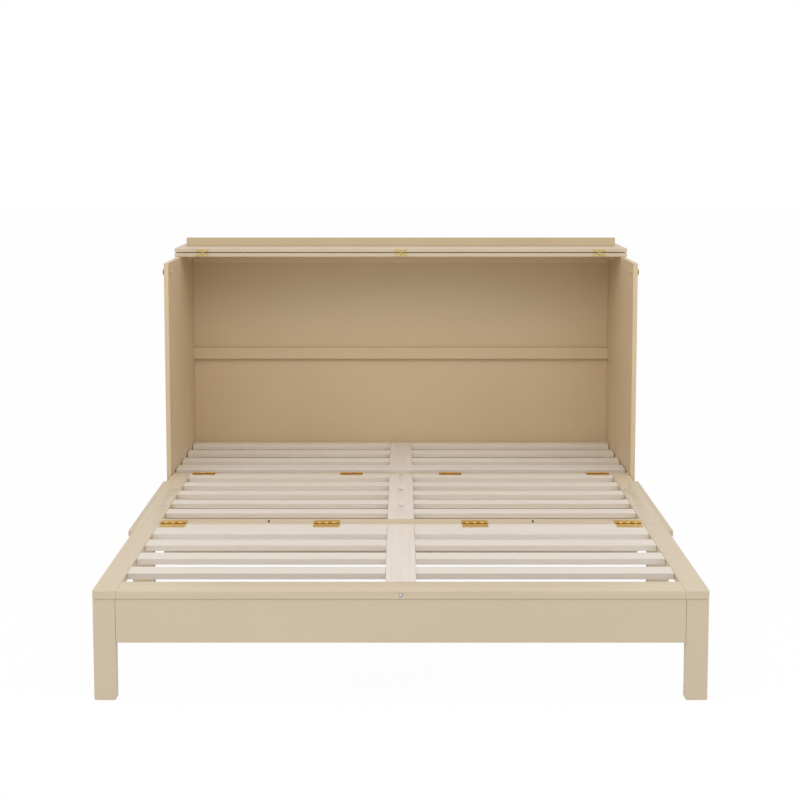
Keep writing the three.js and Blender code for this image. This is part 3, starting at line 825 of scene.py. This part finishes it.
back_low, back_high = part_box("back_panel")
carriers = [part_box(node) for node in ("rear_bearers", "back_middle_rail", "lid_support_frame")]
back_screws = [(x, -(low.z + high.z) / 2) for low, high in carriers for x in BACK_SCREW_X]
bm = bmesh.new()
back_sides = (back_low.x, back_high.x, -back_high.z, -back_low.z)
bores = [sunk_bore(x, y, back_high.y) for x, y in back_screws]
add_eased_board(bm, back_sides, (back_low.y, back_high.y), FRAME_EDGE, bores)
mesh = mesh_from(bm, "back_board", BACKWARD)
# The back board takes the warmer copy of the paint, which is painted warm bounce light.
place("back_board", mesh, warm_bounce_paint, "cabinet", replaces=["back_panel"])
sunk = (back_high.y - BACK_SCREW_DROP, BACK_SCREW_R, BACK_SCREW_T)
heads = countersunk_screws("back_screws", back_screws, *sunk)
place("back_screws", heads, zinc, "cabinet", matrix=BACKWARD)


# Lid
# A fixed board on the cabinet and a front leaf, which is stored folded back on it with a low rail
# along its top. Both boards have softly rounded edges and the cabinet's paint.
LID_EDGE = 2.2 * MM
RAIL_SHADE_BEIGE = ("c9b797", "c1ae8d")

for node in ("lid_fixed_board", "lid_front_leaf"):
    dress(node, paint["x"], LID_EDGE)
# The lid's rail takes a darker copy of the paint: painted shade.
dress("lid_rail", beige_paint("rail_shade_beige_paint", "x", RAIL_SHADE_BEIGE), BOARD_EDGE)


# Lid hinges
# Three small brass butterfly hinges on the front edges of the lid's boards. Each wing has two round
# lobes and a waist at its narrow knuckle, and is held by three dark screws.
WING_HALF = 22 * MM
WING_H = 11 * MM
WING_T = 1.4 * MM
WING_WAIST = 10 * MM
WING_NOTCH = 4 * MM
WING_DIP = 2 * MM
WING_START = 2.75 * MM
WING_BACK = 0.25 * MM
LID_KNUCKLE_R = 1.8 * MM
LID_KNUCKLES = 3
WING_SCREW_R = 1.9 * MM
WING_HOLE_R = 2.2 * MM
WING_BRASS = ("dcc88e", "c2ac70")
BRONZE = ("b49c58", "927c40")
LID_HINGES = 3
PIN_FROM_EDGE = 2 * MM
BOW_STEPS = 8
ARC_STEPS = 10
WING_HOLE_STEPS = 20
WING_HOLE_FLOOR = 0.6
WING_MIDDLE_SCREW = 0.7


def bow(start, middle, end):
    """Points on a curve that leaves start towards middle and arrives at end."""
    points = []
    for i in range(BOW_STEPS):
        t = i / BOW_STEPS
        parts = ((1 - t) ** 2, 2 * t * (1 - t), t ** 2)
        points.append(tuple(sum(w * p[k] for w, p in zip(parts, (start, middle, end))) for k in (0, 1)))
    return points


def arc(x, y, radius, start, end):
    """Points round part of a circle, in degrees."""
    angles = [math.radians(start + (end - start) * i / ARC_STEPS) for i in range(ARC_STEPS)]
    return [(x + radius * math.cos(a), y + radius * math.sin(a)) for a in angles]


def wing_outline():
    """A butterfly wing: waist at the knuckle, a lobe on each side and a notch between them."""
    lobe = WING_H / 2
    reach = WING_HALF - lobe
    points = bow((WING_WAIST / 2, 0), (WING_HALF / 2, WING_DIP), (reach, 0))
    points += arc(reach, lobe, lobe, -90, 90)
    points += bow((reach, WING_H), (WING_HALF / 2, WING_H), (0, WING_H - WING_NOTCH))
    points += bow((0, WING_H - WING_NOTCH), (-WING_HALF / 2, WING_H), (-reach, WING_H))
    points += arc(-reach, lobe, lobe, 90, 270)
    points += bow((-reach, 0), (-WING_HALF / 2, WING_DIP), (-WING_WAIST / 2, 0))
    points.append((-WING_WAIST / 2, 0))
    return points


def wing_leaf(name, with_pin):
    """One wing with its knuckles, standing on its back at the origin with the pin below it."""
    lobe = WING_H / 2
    places = [(-WING_HALF + lobe, lobe), (0, lobe * WING_MIDDLE_SCREW), (WING_HALF - lobe, lobe)]
    tapers = ((WING_HOLE_R, WING_T), (WING_HOLE_R * WING_HOLE_FLOOR, 0))
    holes = [[(circle(x, y, r, WING_HOLE_STEPS), z) for r, z in tapers] for x, y in places]
    bm = bmesh.new()
    add_plate(bm, wing_outline(), 0, WING_T, holes)
    axis_z = PIN_FROM_EDGE - WING_BACK
    for x0, x1 in knuckle_spans(WING_WAIST, LID_KNUCKLES, with_pin):
        barrel = [(y - WING_START, z + axis_z) for y, z in circle(0, 0, LID_KNUCKLE_R, ROLL_STEPS)]
        for section in (barrel, rectangle(-WING_START, 0, 0, WING_T)):
            add_bar(bm, [(x, section) for x in (x0, x1)])
    return mesh_from(bm, name), places


wing_brass = metal("pale_brass", WING_BRASS)
bronze = metal("dark_bronze", BRONZE)
wing_fixed, wing_places = wing_leaf("wing_with_pin", True)
wing_moving, wing_places = wing_leaf("wing_without_pin", False)
wing_screws = countersunk_screws("wing_screws", wing_places, WING_T, WING_SCREW_R, WING_T)
lid_axis = fold_joints["lid_fold"]
lid_rows = (
    ("lid_hinge_fixed_leaf_", "cabinet", wing_fixed, -1),
    ("lid_hinge_moving_leaf_", "lid_leaf", wing_moving, 1),
)
for prefix, body, leaf, up in lid_rows:
    for i in range(LID_HINGES):
        node = prefix + str(i + 1)
        low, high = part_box(node)
        middle = (low.x + high.x) / 2
        back = lid_axis.y + PIN_FROM_EDGE - WING_BACK
        spot = Matrix.Translation((middle, back, lid_axis.z + up * WING_START))
        if up < 0:
            spot = spot @ Matrix.Rotation(math.pi, 4, "Y")
        spot = spot @ UPRIGHT
        place(node + "_wing", leaf, wing_brass, body, PLATE_EDGE, spot, [node])
        place(node + "_screws", wing_screws, bronze, body, matrix=spot)


# Lock pins
# A turned brass knob on each cabinet side, on a shank that runs through the side into the folded foot
# rail. The knob is pulled to free the bed, and a beige nylon sleeve on the tip keeps the rail unmarked.
KNOB_R = 10.5 * MM
KNOB_PROFILE = (
    (0.86, 0), (0.86, 0.12), (0.62, 0.22), (0.58, 0.34), (0.74, 0.44), (0.96, 0.54),
    (1, 0.64), (0.97, 0.78), (0.88, 0.9), (0.7, 0.97), (0.45, 1),
)
KNOB_DIMPLE = ((0.38, 0.5 * MM), (0.2, 0.6 * MM))
SHANK_R = 4.5 * MM
SLEEVE_LENGTH = 12 * MM
SLEEVE_BORE = 2.4 * MM
SLEEVE_EDGE = 0.6 * MM
SLEEVE_GAP = 0.05 * MM
NYLON = ("cdb792", "c2ac87")
NYLON_ROUGHNESS = 0.5
KNOB_TURN_STEPS = 56


def turned(name, profile, bored=False):
    """A piece turned on a lathe from rings of (radius, height), with closed ends or bored through."""
    bm = bmesh.new()
    rings = [loop(bm, circle(0, 0, radius, KNOB_TURN_STEPS), height) for radius, height in profile]
    for lower, upper in zip(rings, rings[1:]):
        wall(bm, lower, upper)
    if bored:
        wall(bm, rings[-1], rings[0])
    else:
        bm.faces.new(rings[0])
        bm.faces.new(rings[-1])
    return mesh_from(bm, name)


def turned_knob(name, low_x, high_x, outer_x):
    """A lock pin turned on a lathe, along Z from its tip to the face of its knob."""
    shank = outer_x - low_x
    length = high_x - low_x
    face = length - shank
    stem = SLEEVE_BORE - SLEEVE_GAP
    profile = [(stem, SLEEVE_EDGE), (stem, SLEEVE_LENGTH), (SHANK_R, SLEEVE_LENGTH), (SHANK_R, shank)]
    profile += [(KNOB_R * part, shank + face * rise) for part, rise in KNOB_PROFILE]
    profile += [(KNOB_R * part, length - depth) for part, depth in KNOB_DIMPLE]
    return turned(name, profile)


def nylon_sleeve(name):
    """The bored sleeve on the tip of a lock pin."""
    end = SLEEVE_LENGTH - SLEEVE_GAP
    profile = [(SLEEVE_BORE, 0), (SHANK_R - SLEEVE_EDGE, 0), (SHANK_R, SLEEVE_EDGE)]
    profile += [(SHANK_R, end), (SLEEVE_BORE, end)]
    return turned(name, profile, bored=True)


nylon, nylon_shader = start_finish("beige_nylon", Roughness=NYLON_ROUGHNESS)
nylon_tone = spread(nylon, mottle(nylon, EVEN, PAINT_STREAK), 0, 1)
wire(nylon, two_tone(nylon, nylon_tone, *NYLON), nylon_shader.inputs["Base Color"])
side_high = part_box("cabinet_side_right")[1]
for side, sign in (("left", -1), ("right", 1)):
    node = "lock_pin_" + side
    low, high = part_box(node)
    tip, face = sorted((abs(low.x), abs(high.x)))
    mesh = turned_knob(node + "_knob", tip, face, side_high.x + SEAT)
    spot = Matrix.Translation((sign * tip, (low.y + high.y) / 2, (low.z + high.z) / 2))
    spot = spot @ Matrix.Rotation(sign * math.pi / 2, 4, "Y")
    # The knob takes the same darker brass as the knuckles.
    place(node + "_knob", mesh, darker_brass_knuckle_shade, side + "_lock", matrix=spot, replaces=[node])
    place(node + "_sleeve", nylon_sleeve(node + "_sleeve"), nylon, side + "_lock", matrix=spot)


# Studio
# A plain white floor that meets a white background, wide soft lamps, and a camera that is set up like
# the photograph's. It stands in front of the bed's middle, higher than the lid, and looks down a little.
FLOOR_SIZE = 60
FLOOR_SHOWN = 0.96
FLOOR_WHITE = (0.95, 0.95, 0.95, 1)
AMBIENT = 0.685
CAMERA_PLACE = (0, -4.8779, 1.4015)
CAMERA_PITCH = 5.768
CAMERA_LENS = 70.44
CAMERA_SENSOR = 36
LEVEL_TILT = 90
CAMERA_SHIFT = (-0.001, -0.12)
LAMPS = (
    ("lamp_overhead", (0, -1.7, 3.6), (0, 0.6, 0.4), 3.5, 50),
    ("lamp_left", (-4.5, -2.5, 3.4), (0, 0.2, 0.4), 3.0, 40),
    ("lamp_right", (4.5, -2.5, 3.4), (0, 0.2, 0.4), 3.0, 40),
)


def white_floor():
    """White to the camera and in reflections, with a share of real white so that shadows show."""
    material = bpy.data.materials.new("white_floor")
    material.use_nodes = True
    material.node_tree.nodes.clear()
    lit = step(material, "ShaderNodeBsdfDiffuse", values={"Color": FLOOR_WHITE})
    shown = step(material, "ShaderNodeEmission", values={"Strength": 1.0})
    mixed = step(material, "ShaderNodeMixShader")
    wire(material, seen_directly(material, FLOOR_SHOWN), mixed.inputs[0])
    wire(material, lit.outputs[0], mixed.inputs[1])
    wire(material, shown.outputs[0], mixed.inputs[2])
    step(material, "ShaderNodeOutputMaterial", {"Surface": mixed.outputs[0]})
    return material


def seen_directly(tree_owner, share):
    """A share where a camera, glossy or transmission ray looks, and nothing for the others."""
    rays = step(tree_owner, "ShaderNodeLightPath").outputs
    glossy = {0: rays["Is Camera Ray"], 1: rays["Is Glossy Ray"]}
    first = step(tree_owner, "ShaderNodeMath", glossy, operation="MAXIMUM")
    clear = {0: first.outputs[0], 1: rays["Is Transmission Ray"]}
    both = step(tree_owner, "ShaderNodeMath", clear, operation="MAXIMUM")
    part = step(tree_owner, "ShaderNodeMath", {0: both.outputs[0]}, {1: share}, operation="MULTIPLY")
    return part.outputs[0]


bm = bmesh.new()
bmesh.ops.create_grid(bm, x_segments=1, y_segments=1, size=FLOOR_SIZE / 2)
floor = bpy.data.objects.new("floor", mesh_from(bm, "floor"))
bpy.context.scene.collection.objects.link(floor)
floor.data.materials.append(white_floor())

world = bpy.data.worlds.new("studio")
bpy.context.scene.world = world
world.use_nodes = True
world.node_tree.nodes.clear()
seen = seen_directly(world, 1.0)
level = step(world, "ShaderNodeMapRange", {"Value": seen}, {"To Min": AMBIENT, "To Max": 1.0})
sky = step(world, "ShaderNodeBackground", {"Strength": level.outputs["Result"]})
step(world, "ShaderNodeOutputWorld", {"Surface": sky.outputs[0]})
sky.inputs["Color"].default_value = (1, 1, 1, 1)

for name, spot, target, size, power in LAMPS:
    lamp = bpy.data.lights.new(name, "AREA")
    lamp.size = size
    lamp.energy = power
    holder = bpy.data.objects.new(name, lamp)
    bpy.context.scene.collection.objects.link(holder)
    holder.location = spot
    holder.rotation_euler = (Vector(target) - Vector(spot)).to_track_quat("-Z", "Y").to_euler()

camera = bpy.data.cameras.new("camera")
camera.lens = CAMERA_LENS
camera.sensor_width = CAMERA_SENSOR
camera.shift_x, camera.shift_y = CAMERA_SHIFT
viewer = bpy.data.objects.new("camera", camera)
bpy.context.scene.collection.objects.link(viewer)
viewer.location = CAMERA_PLACE
viewer.rotation_euler = (math.radians(LEVEL_TILT - CAMERA_PITCH), 0, 0)
bpy.context.scene.camera = viewer
bpy.context.scene.view_settings.view_transform = "Standard"

bpy.context.view_layer.update()
